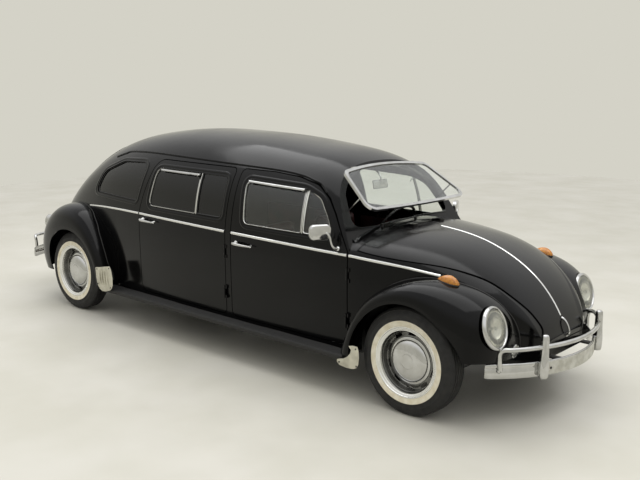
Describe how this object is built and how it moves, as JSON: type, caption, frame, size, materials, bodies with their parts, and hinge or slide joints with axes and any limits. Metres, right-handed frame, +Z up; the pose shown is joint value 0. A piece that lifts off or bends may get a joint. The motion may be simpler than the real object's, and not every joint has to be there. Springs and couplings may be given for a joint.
{
  "type": "stretched four-door compact car",
  "caption": "Rounded family car with separate wings, running boards, opening doors, lids and windscreen held open, and steered front wheels.",
  "frame": {"origin": "on the ground under the middle of the car", "axes": "nose towards -Y, the car's left side towards +X, +Z up"},
  "size_m": [1.6252, 5.0249, 1.4969],
  "materials": {
    "body_paint": "gloss",
    "chrome": "polished",
    "glass": "clear",
    "amber_lens": "gloss",
    "red_lens": "gloss",
    "board_rubber": "ribbed",
    "wiper_metal": "satin",
    "chassis_paint": "satin",
    "cast_alloy": "cast",
    "exhaust_steel": "satin",
    "seat_leather": "satin",
    "wheel_plastic": "gloss",
    "wheel_paint": "gloss",
    "tyre_rubber": "matt"
  },
  "bodies": {
    "car_body": {"back_glass": "glass", "bulkheads": "body_paint", "cowl_panel": "body_paint", "dashboard": "body_paint", "engine_block": "cast_alloy", "exhaust": "exhaust_steel", "floor_pan": "chassis_paint", "front_axle_beam": "chassis_paint", "front_body": "body_paint", "front_bumper": "chrome", "front_seats": "seat_leather", "front_wings": "body_paint", "gearbox": "cast_alloy", "headlamp_glass": "glass", "headlamps": "chrome", "quarter_glass": "glass", "rear_axle": "chassis_paint", "rear_body": "body_paint", "rear_bumper": "chrome", "rear_seat": "seat_leather", "rear_wings": "body_paint", "roof_panel": "body_paint", "running_boards": "board_rubber", "seat_frames": "chassis_paint", "side_frames": "body_paint", "steering_wheel": "wheel_plastic", "tail_lamps": "red_lens", "turn_signals": "amber_lens", "windscreen_frame": "chrome", "windscreen_glass": "glass", "windscreen_surround": "body_paint", "wipers": "wiper_metal"},
    "steering_left": {"knuckle_left": "chassis_paint"},
    "wheel_front_left": {"rim_front_left": "wheel_paint", "tyre_front_left": "tyre_rubber"},
    "passenger_door_front_left": {"door_front_left": "body_paint", "door_glass_front_left": "glass", "door_fittings_front_left": "chrome"},
    "wheel_rear_left": {"rim_rear_left": "wheel_paint", "tyre_rear_left": "tyre_rubber"},
    "passenger_door_rear_left": {"door_rear_left": "body_paint", "door_glass_rear_left": "glass", "door_fittings_rear_left": "chrome"},
    "steering_right": {"knuckle_right": "chassis_paint"},
    "wheel_front_right": {"rim_front_right": "wheel_paint", "tyre_front_right": "tyre_rubber"},
    "passenger_door_front_right": {"door_front_right": "body_paint", "door_glass_front_right": "glass", "door_fittings_front_right": "chrome"},
    "wheel_rear_right": {"rim_rear_right": "wheel_paint", "tyre_rear_right": "tyre_rubber"},
    "passenger_door_rear_right": {"door_rear_right": "body_paint", "door_glass_rear_right": "glass", "door_fittings_rear_right": "chrome"},
    "front_lid": {"bonnet": "body_paint"},
    "rear_lid": {"engine_lid": "body_paint"}
  },
  "joints": [
    {"name": "steer_left", "type": "hinge", "parent": "car_body", "child": "steering_left", "pos_m": [0.5745, -1.7675, 0.317], "axis": [0, 0, 1], "range_deg": [-28, 28]},
    {"name": "steer_right", "type": "hinge", "parent": "car_body", "child": "steering_right", "pos_m": [-0.5745, -1.7675, 0.317], "axis": [0, 0, 1], "range_deg": [-28, 28]},
    {"name": "spin_front_left", "type": "hinge", "parent": "steering_left", "child": "wheel_front_left", "pos_m": [0.6525, -1.7675, 0.317], "axis": [1, 0, 0], "continuous": true},
    {"name": "spin_rear_left", "type": "hinge", "parent": "car_body", "child": "wheel_rear_left", "pos_m": [0.645, 1.5325, 0.317], "axis": [1, 0, 0], "continuous": true},
    {"name": "spin_front_right", "type": "hinge", "parent": "steering_right", "child": "wheel_front_right", "pos_m": [-0.6525, -1.7675, 0.317], "axis": [1, 0, 0], "continuous": true},
    {"name": "spin_rear_right", "type": "hinge", "parent": "car_body", "child": "wheel_rear_right", "pos_m": [-0.645, 1.5325, 0.317], "axis": [1, 0, 0], "continuous": true},
    {"name": "open_door_front_left", "type": "hinge", "parent": "car_body", "child": "passenger_door_front_left", "pos_m": [0.6563, -1.2755, 0.6], "axis": [0, 0, -1], "range_deg": [0, 65]},
    {"name": "open_door_rear_left", "type": "hinge", "parent": "car_body", "child": "passenger_door_rear_left", "pos_m": [0.68139, -0.2305, 0.6], "axis": [0, 0, -1], "range_deg": [0, 65]},
    {"name": "open_door_front_right", "type": "hinge", "parent": "car_body", "child": "passenger_door_front_right", "pos_m": [-0.6563, -1.2755, 0.6], "axis": [0, 0, 1], "range_deg": [0, 65]},
    {"name": "open_door_rear_right", "type": "hinge", "parent": "car_body", "child": "passenger_door_rear_right", "pos_m": [-0.68139, -0.2305, 0.6], "axis": [0, 0, 1], "range_deg": [0, 65]},
    {"name": "lift_bonnet", "type": "hinge", "parent": "car_body", "child": "front_lid", "pos_m": [0, -1.3675, 0.99473], "axis": [-1, 0, 0], "range_deg": [0, 50]},
    {"name": "lift_engine_lid", "type": "hinge", "parent": "car_body", "child": "rear_lid", "pos_m": [0, 1.93474, 0.981], "axis": [1, 0, 0], "range_deg": [0, 60]}
  ],
  "couplings": [
    {"joint": "steer_right", "follows": "steer_left", "ratio": 1}
  ]
}
